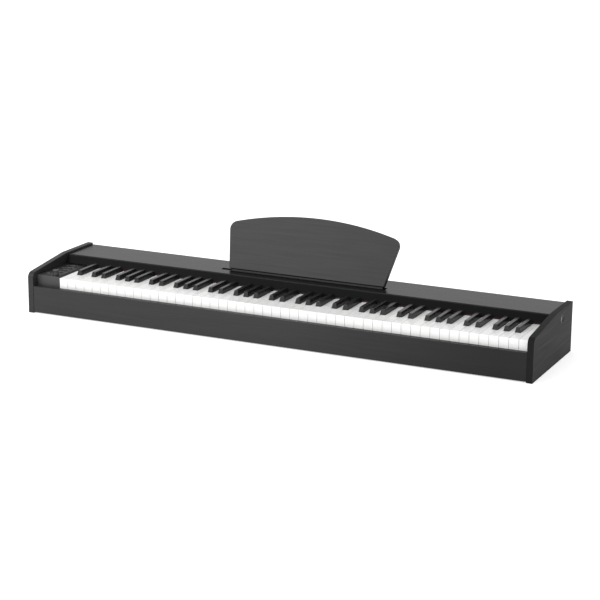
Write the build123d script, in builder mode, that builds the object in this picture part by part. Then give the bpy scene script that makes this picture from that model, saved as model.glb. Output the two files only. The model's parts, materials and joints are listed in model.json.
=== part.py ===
"""Slab digital piano: a wooden cabinet with 88 keys and a music rest that stands in a slot.

Millimetres. +X runs to the treble end, -Y is the player's side and +Z is up. The origin is the
centre of the cabinet's footprint, on the surface that it stands on.
"""
from build123d import *
from math import cos, radians, sin, tan
import os

os.makedirs("parts", exist_ok=True)

# Cabinet
width = 1325.0
depth = 287.0
cheek_thickness = 15.0
cheek_height = 122.0
cheek_front_height = 103.0
cheek_flat_length = 126.0
cheek_nose_radius = 15.5
board_gap = 2.5
rail_thickness = 15.0
rail_top = 69.0
rail_inset = 1.0
base_thickness = 12.0
panel_thickness = 15.0
panel_top = 117.3
panel_front = 167.0
panel_nose = 2.0
back_thickness = 12.0
back_inset = 4.0
edge_break = 1.0

# Fallboard and felt
fallboard_foot = 152.0
fallboard_bottom = 97.0
fallboard_thickness = 10.0
felt_height = 1.8
felt_length = 12.5
felt_proud = 1.5

# Keys
octave_width = 165.0
keyboard_left = 82.3
key_gap = 1.0
key_front = 18.0
key_top = 94.0
key_bottom = 66.0
key_end = 245.0
key_wall = 1.8
key_rounding = 0.6
black_setback = 49.0
black_slot = 13.7
black_top_width = 8.9
black_rise = 12.0
black_slope = 3.5
black_length = 82.0
black_rounding = 1.0
stem_width = 11.0
key_count = 88
white_key_count = 52
pivot_from_front = 235.0
pivot_height = 76.0
pivot_radius = 3.0
pivot_clearance = 0.4
pivot_block = 9.0
key_travel_degrees = 2.6

# Action
chassis_floor = 44.0
sheet = 2.0
chassis_setback = 6.0
chassis_end = 262.0
chassis_side_gap = 1.5
stop_shelf_height = 50.0
stop_depth = 20.0
contact_shelf_height = 51.0
contact_front = 100.0
contact_depth = 30.0
contact_board_thickness = 1.6
contact_strip_thickness = 1.2
contact_dome_radius = 3.5
contact_dome_taper = 15.0
contact_strip_margin = 1.0
contact_board_seam = 2.0
spring_width = 5.0
spring_thickness = 0.5
spring_foot = 205.0
spring_reach = 40.0
contact_gap = 0.5
flange_depth = 18.0
chassis_screw_count = 8
chassis_screw_radius = 2.0
chassis_screw_head_radius = 4.5
chassis_screw_head_height = 3.0
chassis_screw_length = 10.0
screw_clearance = 0.1

# Controls at the left of the keys
housing_side_gap = 0.3
housing_width = 64.5
housing_front = 20.0
housing_length = 129.0
housing_top = 97.0
housing_bottom = 62.0
housing_wall = 2.5
plate_thickness = 0.8
plate_margin = 1.5
knob_radius = 8.5
knob_height = 13.0
knob_gap = 0.5
knob_bore_depth = 10.0
knob_from_left = 63.5
knob_from_front = 31.0
shaft_radius = 3.0
shaft_clearance = 0.5
pot_radius = 8.0
button_count = 4
button_from_left = 56.0
first_button_from_front = 62.0
button_pitch = 22.0
button_length = 12.0
button_depth = 7.0
button_proud = 1.6
button_travel = 1.2
button_clearance = 0.35
button_stem_length = 6.0
button_flange = 1.2
button_flange_height = 1.0
lens_radius = 1.4
lens_from_left = 36.0
front_lens_from_front = 40.0
front_lens_length = 9.0
front_lens_width = 2.4
control_board_height = 82.0
control_board_margin = 4.0
board_sheet = 1.6

# Music rest
rest_lean = 25.0
rest_thickness = 12.0
rest_foot_width = 417.0
rest_shoulder_width = 462.0
rest_shoulder_height = 115.5
rest_peak = 148.5
rest_corner_radius = 20.0
rest_foot_from_front = 205.0
rest_foot_lift = 5.3
rest_shift = 7.8
tongue_thickness = 6.0
tongue_length = 12.5
tongue_side_inset = 4.0
slot_clearance = 0.5
slot_front_margin = 4.0
slot_length = 445.0

# Power button in the right cheek
power_from_front = 208.7
power_above_keys = 3.9
bezel_radius = 10.0
bezel_fit = 0.1
bezel_wall = 1.6
bezel_inset = 0.5
power_button_gap = 0.4
power_button_inset = 2.0
power_travel = 3.0
power_body_length = 16.0
power_body_size = 15.0
power_body_clearance = 1.5

# Feet, stand inserts and sockets
pad_radius = 12.5
pad_from_side = 60.0
pad_from_front = 35.0
insert_spacing_x = 1120.0
insert_spacing_y = 160.0
insert_radius = 5.0
insert_thread_radius = 2.5
insert_length = 11.0
plate_width = 60.0
plate_from_left = 60.0
socket_plate_thickness = 2.0
plate_opening_margin = 4.0
jack_radius = 3.2
jack_collar_radius = 5.5
jack_nut_radius = 8.0
jack_nut_thickness = 1.8
jack_body_width = 15.0
jack_body_length = 24.0
jack_bore_length = 25.0
jack_spacing = 24.0
jack_height = 47.0
inlet_radius = 2.8
inlet_barrel_radius = 4.2
inlet_body_length = 14.0
inlet_body_width = 10.0
inlet_pin_radius = 1.0
inlet_depth = 9.0
inlet_height = 27.0
socket_clearance = 0.3

# Speakers
speaker_spacing = 840.0
speaker_from_front = 133.0
speaker_radius = 46.0
speaker_opening_radius = 37.0
speaker_depth = 18.0
speaker_neck_radius = 20.0
speaker_sheet = 2.0
magnet_radius = 22.0
magnet_thickness = 6.0
cone_thickness = 0.8
cone_neck_radius = 9.0
dust_cap_rise = 3.0
grille_radius = 44.0
grille_thickness = 1.4
grille_hole_radius = 2.0
grille_ring_pitch = 7.0
grille_ring_count = 5
grille_holes_per_ring = 6

# Main board
main_board_width = 50.0
main_board_length = 150.0
main_board_from_front = 60.0
main_board_margin = 8.0
standoff_margin = 6.0
standoff_height = 8.0
standoff_radius = 3.0

# Worked out from the sizes above
front = -depth / 2
back = depth / 2
left = -width / 2
right = width / 2
inner_left = left + cheek_thickness
inner_right = right - cheek_thickness
inner_width = inner_right - inner_left
base_top = board_gap + base_thickness
panel_bottom = panel_top - panel_thickness
back_outer = back - back_inset
back_inner = back_outer - back_thickness
rail_back = front + rail_inset + rail_thickness
white_pitch = octave_width / 7
first_key_left = left + keyboard_left
pivot_y = front + pivot_from_front
white_order = [0, 2, 4, 5, 7, 9, 11]
keyboard_right = first_key_left + white_key_count * white_pitch
face_run = (panel_front - fallboard_foot) / (panel_top - fallboard_bottom)


def slab(x_span, y_span, z_span, mode=Mode.ADD):
    """Add or cut a block between two corners in the builder that is open."""
    spans = (x_span, y_span, z_span)
    with Locations(tuple((low + high) / 2 for low, high in spans)):
        Box(*(high - low for low, high in spans), mode=mode)


def rod(centre, radius, length, turn=(0, 0, 0), mode=Mode.ADD):
    """Add or cut a cylinder about a centre in the builder that is open."""
    with Locations(Location(centre, turn)):
        Cylinder(radius, length, mode=mode)


# ---- Cabinet ----------------------------------------------------------------------------------
def cheek(outer_face):
    """Side board: a flat rear half, a sloping front half and a round nose."""
    with BuildPart() as board:
        with BuildSketch(Plane.YZ.offset(outer_face)) as profile:
            with BuildLine():
                Polyline(
                    (front, 0),
                    (back, 0),
                    (back, cheek_height),
                    (back - cheek_flat_length, cheek_height),
                    (front, cheek_front_height),
                    close=True,
                )
            make_face()
            nose = profile.vertices().group_by(Axis.X)[0].sort_by(Axis.Y)[-1]
            fillet(nose, radius=cheek_nose_radius)
        extrude(amount=cheek_thickness)
    return board.part


with BuildPart() as left_cheek:
    add(cheek(left))
left_cheek.part.label = "left_cheek"
export_step(left_cheek.part, "parts/left_cheek.step")

power_y = front + power_from_front
power_height = key_top + power_above_keys
with BuildPart() as right_cheek:
    add(cheek(inner_right))
    rod((right, power_y, power_height), bezel_radius + bezel_fit, 3 * cheek_thickness, (0, 90, 0),
        Mode.SUBTRACT)
right_cheek.part.label = "right_cheek"
export_step(right_cheek.part, "parts/right_cheek.step")

with BuildPart() as front_rail:
    slab((inner_left, inner_right), (front + rail_inset, rail_back), (board_gap, rail_top))
    top_front_edge = front_rail.edges().filter_by(Axis.X).group_by(Axis.Z)[-1].sort_by(Axis.Y)[0]
    chamfer(top_front_edge, edge_break)
front_rail.part.label = "front_rail"
export_step(front_rail.part, "parts/front_rail.step")

speaker_places = [(side * speaker_spacing / 2, front + speaker_from_front) for side in (-1, 1)]
pad_x = width / 2 - pad_from_side
pad_y = depth / 2 - pad_from_front
screw_pitch = (keyboard_right - first_key_left) / chassis_screw_count
screw_y = front + key_front + chassis_setback + flange_depth / 2
screw_places = [
    (first_key_left + (number + 0.5) * screw_pitch, screw_y)
    for number in range(chassis_screw_count)
]
with BuildPart() as bottom_board:
    slab((inner_left, inner_right), (rail_back, back_inner), (board_gap, base_top))
    with BuildSketch(Plane.XY.offset(board_gap)):
        with Locations(*speaker_places):
            Circle(speaker_opening_radius)
        with GridLocations(insert_spacing_x, insert_spacing_y, 2, 2):
            Circle(insert_radius)
    extrude(amount=base_thickness, mode=Mode.SUBTRACT)
    with BuildSketch(Plane.XY.offset(base_top)):
        with Locations(*screw_places):
            Circle(chassis_screw_radius + screw_clearance)
    extrude(amount=-chassis_screw_length, mode=Mode.SUBTRACT)
bottom_board.part.label = "bottom_board"
export_step(bottom_board.part, "parts/bottom_board.step")

plate_left = left + plate_from_left - plate_width / 2
plate_span = (plate_left, plate_left + plate_width)
with BuildPart() as back_panel:
    slab((inner_left, plate_span[0] + plate_opening_margin), (back_inner, back_outer),
         (board_gap, panel_bottom))
    slab((plate_span[1] - plate_opening_margin, inner_right), (back_inner, back_outer),
         (board_gap, panel_bottom))
back_panel.part.label = "back_panel"
export_step(back_panel.part, "parts/back_panel.step")

# The rest's foot edge, its lean and the stretch of its tongue across the top panel.
lean = radians(rest_lean)
foot_y = front + rest_foot_from_front
foot_z = panel_top + rest_foot_lift
tongue_face_y = foot_y + (rest_thickness - tongue_thickness) * cos(lean)
tongue_back_y = foot_y + rest_thickness * cos(lean)
tongue_back_z = foot_z - rest_thickness * sin(lean)
tongue_tip_z = tongue_back_z - tongue_length * cos(lean)
slot_front = tongue_face_y - tongue_length * sin(lean) - slot_front_margin
slot_back = tongue_back_y + (panel_top - tongue_back_z) * tan(lean) + slot_clearance
slot_floor = tongue_tip_z - slot_clearance
mitre_y = (
    front + fallboard_foot
    + (panel_bottom - fallboard_bottom) * face_run
    + fallboard_thickness * (1 + face_run ** 2) ** 0.5
)
nose_drop = panel_nose / (1 + face_run ** 2) ** 0.5
nose_y = front + panel_front - nose_drop * face_run
nose_z = panel_top - nose_drop
power_pocket = power_body_size / 2 + power_body_clearance
with BuildPart() as top_panel:
    with BuildSketch(Plane.YZ.offset(inner_left)):
        with BuildLine():
            Polyline(
                (front + panel_front + panel_nose, panel_top),
                (back, panel_top),
                (back, panel_bottom),
                (mitre_y, panel_bottom),
                (nose_y, nose_z),
                close=True,
            )
        make_face()
    extrude(amount=inner_width)
    slab((-slot_length / 2, slot_length / 2), (slot_front, slot_back), (slot_floor, panel_top),
         Mode.SUBTRACT)
    slab(
        (inner_right - power_body_length - power_body_clearance, inner_right),
        (power_y - power_pocket, power_y + power_pocket),
        (panel_bottom, power_height + power_pocket),
        Mode.SUBTRACT,
    )
top_panel.part.label = "top_panel"
export_step(top_panel.part, "parts/top_panel.step")

fallboard_back = front + fallboard_foot + fallboard_thickness * (1 + face_run ** 2) ** 0.5
with BuildPart() as fallboard:
    with BuildSketch(Plane.YZ.offset(inner_left)):
        with BuildLine():
            Polyline(
                (front + fallboard_foot, fallboard_bottom),
                (nose_y, nose_z),
                (mitre_y, panel_bottom),
                (fallboard_back, fallboard_bottom),
                close=True,
            )
        make_face()
    extrude(amount=inner_width)
fallboard.part.label = "fallboard"
export_step(fallboard.part, "parts/fallboard.step")

housing_right = inner_left + housing_side_gap + housing_width
felt_front = front + fallboard_foot - felt_proud
with BuildPart() as key_felt:
    slab((housing_right, inner_right), (felt_front, felt_front + felt_length),
         (fallboard_bottom - felt_height, fallboard_bottom))
key_felt.part.label = "key_felt"
export_step(key_felt.part, "parts/key_felt.step")


# ---- Keys -------------------------------------------------------------------------------------
def pitch_class(number):
    """Semitones above C, where key 0 is the lowest A."""
    return (number + 9) % 12


def is_white(number):
    return pitch_class(number) in white_order


def white_place(number):
    """Which white key this is, counted from the bass end."""
    octave = (number + 9) // 12
    return 7 * octave + white_order.index(pitch_class(number)) - 5


def slot_span(number):
    """Left and right of a key's share of the octave, where the black keys stand."""
    octave_left = first_key_left + (7 * ((number + 9) // 12) - 5) * white_pitch
    lower_tail = (3 * white_pitch - 2 * black_slot) / 3
    upper_tail = (4 * white_pitch - 3 * black_slot) / 4
    start = octave_left
    for step in range(pitch_class(number)):
        if step in white_order:
            start += lower_tail if step < 5 else upper_tail
        else:
            start += black_slot
    if not is_white(number):
        return start, start + black_slot
    return start, start + (lower_tail if pitch_class(number) < 5 else upper_tail)


def white_outline(number, inset, rear):
    """Corners of a white key seen from above: a wide head and a tail between black keys."""
    half_gap = key_gap / 2
    head_left = first_key_left + white_place(number) * white_pitch + half_gap
    head_right = head_left + white_pitch - key_gap
    tail_left, tail_right = slot_span(number)
    tail_left = head_left if number == 0 else tail_left + half_gap
    tail_right = head_right if number == key_count - 1 else tail_right - half_gap
    near = front + key_front + inset
    notch = front + key_front + black_setback - key_gap - inset
    corners = [
        (head_left + inset, near),
        (head_right - inset, near),
        (head_right - inset, notch),
        (tail_right - inset, notch),
        (tail_right - inset, rear),
        (tail_left + inset, rear),
        (tail_left + inset, notch),
        (head_left + inset, notch),
    ]
    kept = []
    for corner in corners:
        if not kept or max(abs(a - b) for a, b in zip(corner, kept[-1])) > 1e-6:
            kept.append(corner)
    return kept


def cut_pivot_slots():
    """Cut the slot, open below, with which each key sits on the pivot rod."""
    radius = pivot_radius + pivot_clearance
    middle = (first_key_left + keyboard_right) / 2
    slab((first_key_left, keyboard_right), (pivot_y - radius, pivot_y + radius),
         (key_bottom, pivot_height), Mode.SUBTRACT)
    rod((middle, pivot_y, pivot_height), radius, keyboard_right - first_key_left, (0, 90, 0),
        Mode.SUBTRACT)


pocket_rear = pivot_y - pivot_block


def white_keys(numbers):
    """Hollow white keys, open below, as one solid each."""
    with BuildPart() as keys:
        with BuildSketch(Plane.XY.offset(key_bottom)):
            for number in numbers:
                with BuildLine():
                    Polyline(*white_outline(number, 0, front + key_end), close=True)
                make_face()
        extrude(amount=key_top - key_bottom)
        fillet(keys.edges().group_by(Axis.Z)[-1], radius=key_rounding)
        with BuildSketch(Plane.XY.offset(key_bottom)):
            for number in numbers:
                with BuildLine():
                    Polyline(*white_outline(number, key_wall, pocket_rear), close=True)
                make_face()
        extrude(amount=key_top - key_bottom - key_wall, mode=Mode.SUBTRACT)
        cut_pivot_slots()
    return keys.part


def black_keys(numbers):
    """Hollow black keys: a tapered cap on a narrow stem that runs back to the pivot."""
    cap_front = front + key_front + black_setback
    cap_middle = cap_front + black_length / 2
    with BuildPart() as keys:
        for number in numbers:
            middle = sum(slot_span(number)) / 2
            with BuildSketch(Plane.XY.offset(key_top)):
                with Locations((middle, cap_middle)):
                    Rectangle(black_slot - key_gap, black_length)
            with BuildSketch(Plane.XY.offset(key_top + black_rise)):
                with Locations((middle, cap_middle + black_slope / 2)):
                    Rectangle(black_top_width, black_length - black_slope)
            loft()
        fillet(keys.edges().group_by(Axis.Z)[-1], radius=black_rounding)
        for number in numbers:
            middle = sum(slot_span(number)) / 2
            slab((middle - stem_width / 2, middle + stem_width / 2),
                 (cap_front + key_gap, front + key_end), (key_bottom, key_top))
            slab((middle - stem_width / 2 + key_wall, middle + stem_width / 2 - key_wall),
                 (cap_front + key_gap + key_wall, pocket_rear), (key_bottom, key_top - key_wall),
                 Mode.SUBTRACT)
        cut_pivot_slots()
    return keys.part


note_names = ["c", "c_sharp", "d", "d_sharp", "e", "f", "f_sharp", "g", "g_sharp", "a",
              "a_sharp", "b"]
middle_octave = range(39, 51)
key_blocks = {
    "a0_to_b1": range(0, 15),
    "c2_to_b3": range(15, 39),
    "c5_to_b6": range(51, 75),
    "c7_to_c8": range(75, 88),
}

for number in middle_octave:
    key = white_keys([number]) if is_white(number) else black_keys([number])
    key_name = f"key_{note_names[pitch_class(number)]}_4"
    key.label = key_name
    export_step(key, f"parts/{key_name}.step")

for block_name, numbers in key_blocks.items():
    whites = white_keys([number for number in numbers if is_white(number)])
    whites.label = f"white_keys_{block_name}"
    export_step(whites, f"parts/white_keys_{block_name}.step")
    blacks = black_keys([number for number in numbers if not is_white(number)])
    blacks.label = f"black_keys_{block_name}"
    export_step(blacks, f"parts/black_keys_{block_name}.step")

# ---- Action under the keys --------------------------------------------------------------------
def pressed_bottom(distance_from_front):
    """Height of a pressed key's underside at a distance from the cabinet's front."""
    arm = pivot_from_front - distance_from_front
    drop = radians(key_travel_degrees)
    return pivot_height - (pivot_height - key_bottom) * cos(drop) - arm * sin(drop)


action_span = (first_key_left, inner_right - chassis_side_gap)
chassis_front = front + key_front + chassis_setback
chassis_back = front + chassis_end
contact_y = front + contact_front
pivot_wall_top = pivot_height - pivot_radius
with BuildPart() as key_chassis:
    slab(action_span, (chassis_front, chassis_back), (chassis_floor - sheet, chassis_floor))
    slab(action_span, (chassis_front, chassis_front + sheet), (base_top, stop_shelf_height))
    slab(action_span, (chassis_front, chassis_front + stop_depth),
         (stop_shelf_height - sheet, stop_shelf_height))
    slab(action_span, (chassis_front, chassis_front + flange_depth), (base_top, base_top + sheet))
    slab(action_span, (chassis_back - sheet, chassis_back), (base_top, chassis_floor))
    for rib in (contact_y + sheet, contact_y + contact_depth - 2 * sheet):
        slab(action_span, (rib, rib + sheet), (chassis_floor, contact_shelf_height))
    slab(action_span, (pivot_y - sheet / 2, pivot_y + sheet / 2), (chassis_floor, pivot_wall_top))
    with BuildSketch(Plane.XY.offset(base_top)):
        with Locations(*screw_places):
            Circle(chassis_screw_radius + screw_clearance)
    extrude(amount=sheet, mode=Mode.SUBTRACT)
key_chassis.part.label = "key_chassis"
export_step(key_chassis.part, "parts/key_chassis.step")

with BuildPart() as pivot_rod:
    rod((sum(action_span) / 2, pivot_y, pivot_height), pivot_radius,
        action_span[1] - action_span[0], (0, 90, 0))
    slab(action_span, (pivot_y - sheet / 2, pivot_y + sheet / 2),
         (key_bottom, pivot_wall_top), Mode.SUBTRACT)
pivot_rod.part.label = "pivot_rod"
export_step(pivot_rod.part, "parts/pivot_rod.step")

with BuildPart() as chassis_screws:
    with BuildSketch(Plane.XY.offset(base_top + sheet)):
        with Locations(*screw_places):
            Circle(chassis_screw_head_radius)
    extrude(amount=chassis_screw_head_height)
    fillet(chassis_screws.edges().group_by(Axis.Z)[-1], radius=edge_break)
    with BuildSketch(Plane.XY.offset(base_top + sheet)):
        with Locations(*screw_places):
            Circle(chassis_screw_radius)
    extrude(amount=-chassis_screw_length)
chassis_screws.part.label = "chassis_screws"
export_step(chassis_screws.part, "parts/chassis_screws.step")

stop_top = pressed_bottom(key_front + chassis_setback) - contact_gap
with BuildPart() as stop_felt:
    slab(action_span, (chassis_front, chassis_front + stop_depth), (stop_shelf_height, stop_top))
stop_felt.part.label = "stop_felt"
export_step(stop_felt.part, "parts/stop_felt.step")

contact_top = contact_shelf_height + contact_board_thickness
board_split = (action_span[0] + action_span[1]) / 2
with BuildPart() as contact_boards:
    for span in ((action_span[0], board_split - contact_board_seam / 2),
                 (board_split + contact_board_seam / 2, action_span[1])):
        slab(span, (contact_y, contact_y + contact_depth), (contact_shelf_height, contact_top))
contact_boards.part.label = "contact_boards"
export_step(contact_boards.part, "parts/contact_boards.step")

key_middles = [sum(slot_span(number)) / 2 for number in range(key_count)]
dome_y = contact_y + contact_depth / 2
dome_base = contact_top + contact_strip_thickness
dome_height = pressed_bottom(contact_front + contact_depth / 2) - contact_gap - dome_base
with BuildPart() as contact_rubber:
    strip_reach = contact_dome_radius + contact_strip_margin
    slab(action_span, (dome_y - strip_reach, dome_y + strip_reach), (contact_top, dome_base))
    with BuildSketch(Plane.XY.offset(dome_base)):
        for middle in key_middles:
            with Locations((middle, dome_y)):
                Circle(contact_dome_radius)
    extrude(amount=dome_height, taper=contact_dome_taper)
contact_rubber.part.label = "contact_rubber"
export_step(contact_rubber.part, "parts/contact_rubber.step")

spring_tip_from_front = spring_foot - spring_reach
spring_tip_z = pressed_bottom(spring_tip_from_front) - contact_gap - spring_thickness
with BuildPart() as spring_comb:
    foot = front + spring_foot
    tip = front + spring_tip_from_front
    slab(action_span, (foot, foot + flange_depth),
         (chassis_floor, chassis_floor + spring_thickness))
    for middle in key_middles:
        with BuildSketch(Plane.YZ.offset(middle - spring_width / 2)):
            with BuildLine():
                Polyline(
                    (foot, chassis_floor),
                    (tip, spring_tip_z),
                    (tip, spring_tip_z + spring_thickness),
                    (foot, chassis_floor + spring_thickness),
                    close=True,
                )
            make_face()
        extrude(amount=spring_width)
spring_comb.part.label = "spring_comb"
export_step(spring_comb.part, "parts/spring_comb.step")

# ---- Controls ---------------------------------------------------------------------------------
housing_left = inner_left + housing_side_gap
housing_near = front + housing_front
housing_far = housing_near + housing_length
shell_top = housing_top - plate_thickness
knob_place = (left + knob_from_left, front + knob_from_front)
button_places = [
    (left + button_from_left, front + first_button_from_front + button_pitch * number)
    for number in range(button_count)
]
lens_places = [(left + lens_from_left, y) for x, y in button_places]
front_lens_place = (left + lens_from_left, front + front_lens_from_front)


def cut_control_openings(bottom, height):
    """Cut the holes for the shaft, the buttons and the indicator through a sheet."""
    with BuildSketch(Plane.XY.offset(bottom)) as openings:
        with Locations(knob_place):
            Circle(shaft_radius + shaft_clearance)
        with Locations(*button_places):
            RectangleRounded(button_length + 2 * button_clearance,
                             button_depth + 2 * button_clearance, button_depth / 4)
        with Locations(*lens_places):
            Circle(lens_radius)
        with Locations(front_lens_place):
            Rectangle(front_lens_length, front_lens_width)
    extrude(openings.sketch, amount=height, mode=Mode.SUBTRACT)


with BuildPart() as control_housing:
    slab((housing_left, housing_right), (housing_near, housing_far), (housing_bottom, shell_top))
    fillet(control_housing.edges().filter_by(Axis.Z).group_by(Axis.Y)[0], radius=edge_break)
    slab((housing_left + housing_wall, housing_right - housing_wall),
         (housing_near + housing_wall, housing_far - housing_wall),
         (housing_bottom, shell_top - housing_wall), Mode.SUBTRACT)
    cut_control_openings(shell_top - housing_wall, housing_wall)
control_housing.part.label = "control_housing"
export_step(control_housing.part, "parts/control_housing.step")

with BuildPart() as control_plate:
    slab((housing_left + plate_margin, housing_right - plate_margin),
         (housing_near + plate_margin, housing_far - plate_margin), (shell_top, housing_top))
    cut_control_openings(shell_top, plate_thickness)
control_plate.part.label = "control_plate"
export_step(control_plate.part, "parts/control_plate.step")

knob_bottom = housing_top + knob_gap
with BuildPart() as volume_knob:
    rod((*knob_place, knob_bottom + knob_height / 2), knob_radius, knob_height)
    fillet(volume_knob.edges().group_by(Axis.Z)[-1], radius=edge_break)
    rod((*knob_place, knob_bottom + knob_bore_depth / 2), shaft_radius, knob_bore_depth,
        mode=Mode.SUBTRACT)
    slab((knob_place[0] - edge_break / 2, knob_place[0] + edge_break / 2),
         (knob_place[1] - knob_radius, knob_place[1] - knob_radius / 3),
         (knob_bottom + knob_height - edge_break, knob_bottom + knob_height), Mode.SUBTRACT)
volume_knob.part.label = "volume_knob"
export_step(volume_knob.part, "parts/volume_knob.step")

control_board_top = control_board_height + board_sheet
pot_top = shell_top - housing_wall
shaft_bottom = control_board_top + knob_gap + board_sheet
shaft_top = knob_bottom + knob_bore_depth
with BuildPart() as volume_shaft:
    rod((*knob_place, (shaft_bottom + shaft_top) / 2), shaft_radius, shaft_top - shaft_bottom)
volume_shaft.part.label = "volume_shaft"
export_step(volume_shaft.part, "parts/volume_shaft.step")

with BuildPart() as volume_pot:
    rod((*knob_place, (control_board_top + pot_top) / 2), pot_radius, pot_top - control_board_top)
    rod((*knob_place, (shaft_bottom - knob_gap + pot_top) / 2), shaft_radius + shaft_clearance,
        pot_top - shaft_bottom + knob_gap, mode=Mode.SUBTRACT)
volume_pot.part.label = "volume_pot"
export_step(volume_pot.part, "parts/volume_pot.step")

flange_top = pot_top - button_clearance
button_bottom = flange_top - button_flange_height - button_travel
switch_top = button_bottom - button_travel - button_clearance
for number, place in enumerate(button_places, start=1):
    with BuildPart() as button:
        slab((place[0] - button_length / 2, place[0] + button_length / 2),
             (place[1] - button_depth / 2, place[1] + button_depth / 2),
             (flange_top, housing_top + button_proud))
        fillet(button.edges().filter_by(Axis.Z), radius=button_depth / 4)
        fillet(button.edges().group_by(Axis.Z)[-1], radius=edge_break / 2)
        slab((place[0] - button_length / 2 - button_flange,
              place[0] + button_length / 2 + button_flange),
             (place[1] - button_depth / 2 - button_flange,
              place[1] + button_depth / 2 + button_flange),
             (flange_top - button_flange_height, flange_top))
        rod((*place, (button_bottom + flange_top) / 2), button_depth / 3,
            flange_top - button_bottom)
    button.part.label = f"panel_button_{number}"
    export_step(button.part, f"parts/panel_button_{number}.step")

with BuildPart() as indicator_lenses:
    for place in lens_places:
        rod((*place, (pot_top + housing_top) / 2), lens_radius, housing_top - pot_top)
    slab((front_lens_place[0] - front_lens_length / 2, front_lens_place[0] + front_lens_length / 2),
         (front_lens_place[1] - front_lens_width / 2, front_lens_place[1] + front_lens_width / 2),
         (pot_top, housing_top))
indicator_lenses.part.label = "indicator_lenses"
export_step(indicator_lenses.part, "parts/indicator_lenses.step")

with BuildPart() as control_board:
    slab((housing_left + control_board_margin, housing_right - control_board_margin),
         (housing_near + control_board_margin, housing_far - control_board_margin),
         (control_board_height, control_board_top))
    for place in button_places:
        slab((place[0] - button_depth / 2, place[0] + button_depth / 2),
             (place[1] - button_depth / 2, place[1] + button_depth / 2),
             (control_board_top, switch_top))
control_board.part.label = "control_board"
export_step(control_board.part, "parts/control_board.step")

# ---- Music rest -------------------------------------------------------------------------------
rest_plane = Plane(
    origin=(rest_shift, foot_y, foot_z),
    x_dir=(1, 0, 0),
    z_dir=(0, -cos(lean), sin(lean)),
)
with BuildPart() as music_rest:
    with BuildSketch(rest_plane) as outline:
        half_foot = rest_foot_width / 2
        half_shoulder = rest_shoulder_width / 2
        with BuildLine():
            Polyline((-half_shoulder, rest_shoulder_height), (-half_foot, 0), (half_foot, 0),
                     (half_shoulder, rest_shoulder_height))
            ThreePointArc((half_shoulder, rest_shoulder_height), (0, rest_peak),
                          (-half_shoulder, rest_shoulder_height))
        make_face()
        shoulders = [
            corner for corner in outline.vertices()
            if abs(abs(corner.X) - half_shoulder) < edge_break
        ]
        fillet(shoulders, radius=rest_corner_radius)
    extrude(amount=-rest_thickness)
    with BuildSketch(rest_plane.offset(tongue_thickness - rest_thickness)):
        with Locations((0, -tongue_length / 2)):
            Rectangle(rest_foot_width - 2 * tongue_side_inset, tongue_length)
    extrude(amount=-tongue_thickness)
music_rest.part.label = "music_rest"
export_step(music_rest.part, "parts/music_rest.step")

# ---- Power button -----------------------------------------------------------------------------
bezel_outer = right - bezel_inset
button_face = right - power_button_inset
body_inner = inner_right - power_body_length
barrel_radius = bezel_radius - bezel_wall
with BuildPart() as power_switch:
    rod(((bezel_outer + inner_right) / 2, power_y, power_height), bezel_radius,
        bezel_outer - inner_right, (0, 90, 0))
    half_body = power_body_size / 2
    slab((body_inner, inner_right), (power_y - half_body, power_y + half_body),
         (key_top + power_body_clearance, power_height + half_body))
    rod(((bezel_outer + inner_right) / 2, power_y, power_height), barrel_radius,
        bezel_outer - inner_right, (0, 90, 0), Mode.SUBTRACT)
power_switch.part.label = "power_switch"
export_step(power_switch.part, "parts/power_switch.step")

button_tail = inner_right + power_travel + edge_break
with BuildPart() as power_button:
    rod(((button_face + button_tail) / 2, power_y, power_height), barrel_radius - power_button_gap,
        button_face - button_tail, (0, 90, 0))
    fillet(power_button.edges().group_by(Axis.X)[-1], radius=edge_break)
power_button.part.label = "power_button"
export_step(power_button.part, "parts/power_button.step")

# ---- Feet, stand inserts and sockets ----------------------------------------------------------
with BuildPart() as rubber_pads:
    with BuildSketch():
        with GridLocations(2 * pad_x, 2 * pad_y, 2, 2):
            Circle(pad_radius)
    extrude(amount=board_gap)
rubber_pads.part.label = "rubber_pads"
export_step(rubber_pads.part, "parts/rubber_pads.step")

with BuildPart() as stand_inserts:
    with BuildSketch(Plane.XY.offset(board_gap)):
        with GridLocations(insert_spacing_x, insert_spacing_y, 2, 2):
            Circle(insert_radius)
            Circle(insert_thread_radius, mode=Mode.SUBTRACT)
    extrude(amount=insert_length)
stand_inserts.part.label = "stand_inserts"
export_step(stand_inserts.part, "parts/stand_inserts.step")

plate_outer = back_outer + socket_plate_thickness
socket_middle = sum(plate_span) / 2
jack_places = [(socket_middle + side * jack_spacing / 2, jack_height) for side in (-1, 1)]
inlet_x = socket_middle - jack_spacing / 2
with BuildPart() as socket_plate:
    slab(plate_span, (back_outer, plate_outer), (board_gap, panel_bottom))
    for jack_x, jack_z in jack_places:
        rod((jack_x, plate_outer, jack_z), jack_collar_radius + socket_clearance,
            4 * socket_plate_thickness, (90, 0, 0), Mode.SUBTRACT)
    rod((inlet_x, plate_outer, inlet_height), inlet_barrel_radius + socket_clearance,
        4 * socket_plate_thickness, (90, 0, 0), Mode.SUBTRACT)
socket_plate.part.label = "socket_plate"
export_step(socket_plate.part, "parts/socket_plate.step")

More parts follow.
